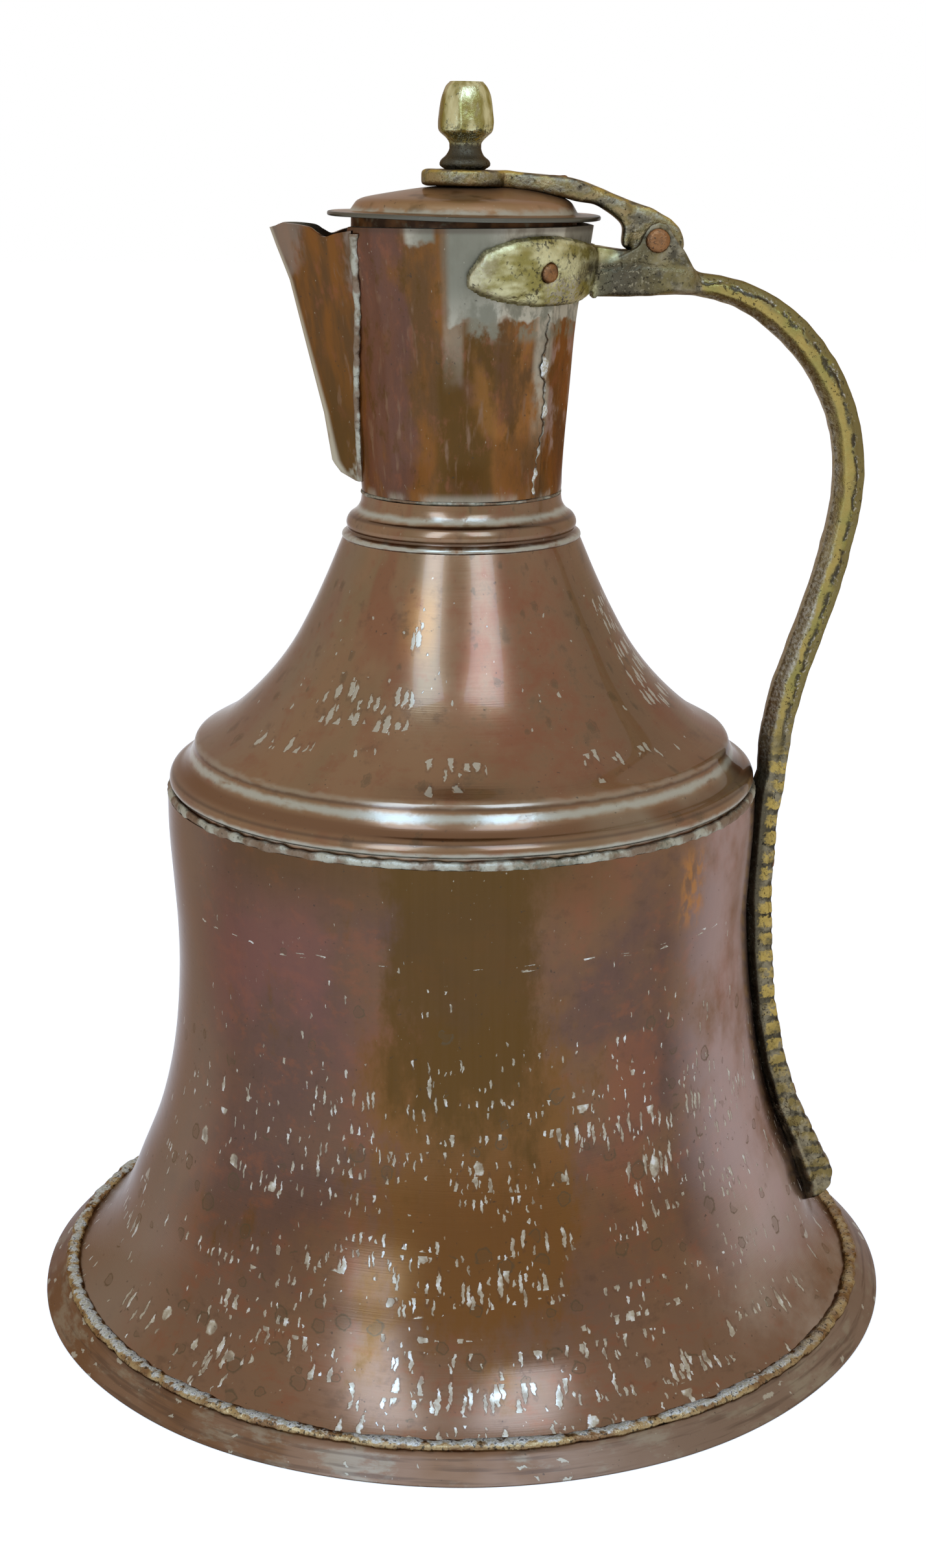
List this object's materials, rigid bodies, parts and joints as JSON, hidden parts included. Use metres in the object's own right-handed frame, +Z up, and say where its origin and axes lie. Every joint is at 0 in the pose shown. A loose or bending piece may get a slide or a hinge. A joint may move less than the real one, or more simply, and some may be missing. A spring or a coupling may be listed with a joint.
{
  "type": "lidded copper jug",
  "caption": "Bell-shaped lidded water jug in copper, with a wide foot, a folded pouring spout, a hinged lid with a knob and a cast brass handle.",
  "frame": {"origin": "centre of the base, on the surface that the jug stands on", "axes": "+Z up along the body's axis, +X towards the handle, -X towards the spout, the jug alike on both sides of Y = 0"},
  "size_m": [0.25, 0.25, 0.3417],
  "materials": {
    "copper": "worn polished copper with tin flecks, darkened by age",
    "warm_copper": "polished orange-brown copper, tinned round the handle",
    "dark_copper": "dull dark copper",
    "rivet_copper": "hammered copper",
    "brass": "cast brass, pitted and polished by use",
    "pale_brass": "pale cast brass, dark in its hollows",
    "solder": "dull grey tin solder with dark pits"
  },
  "bodies": {
    "vessel": {"base_plate": "dark_copper", "foot_solder_ring": "solder", "bell_body": "copper", "shoulder_solder_ring": "solder", "shoulder_body": "copper", "neck_solder_ring": "solder", "neck_tube": "warm_copper", "neck_seam_solder": "solder", "spout": "warm_copper", "spout_solder_front": "solder", "spout_solder_back": "solder", "handle": "brass", "wing_rivet_front": "rivet_copper", "wing_rivet_back": "rivet_copper", "tail_rivet_upper": "rivet_copper", "tail_rivet_lower": "rivet_copper", "hinge_pin": "rivet_copper"},
    "lid": {"lid_cover": "copper", "lid_collar": "dark_copper", "lid_arm": "pale_brass", "arm_rivet": "rivet_copper", "finial": "pale_brass"}
  },
  "joints": [
    {"name": "lid_hinge", "type": "hinge", "parent": "vessel", "child": "lid", "pos_m": [0.0523, 0, 0.301], "axis": [0, 1, 0], "range_deg": [0, 125]}
  ]
}
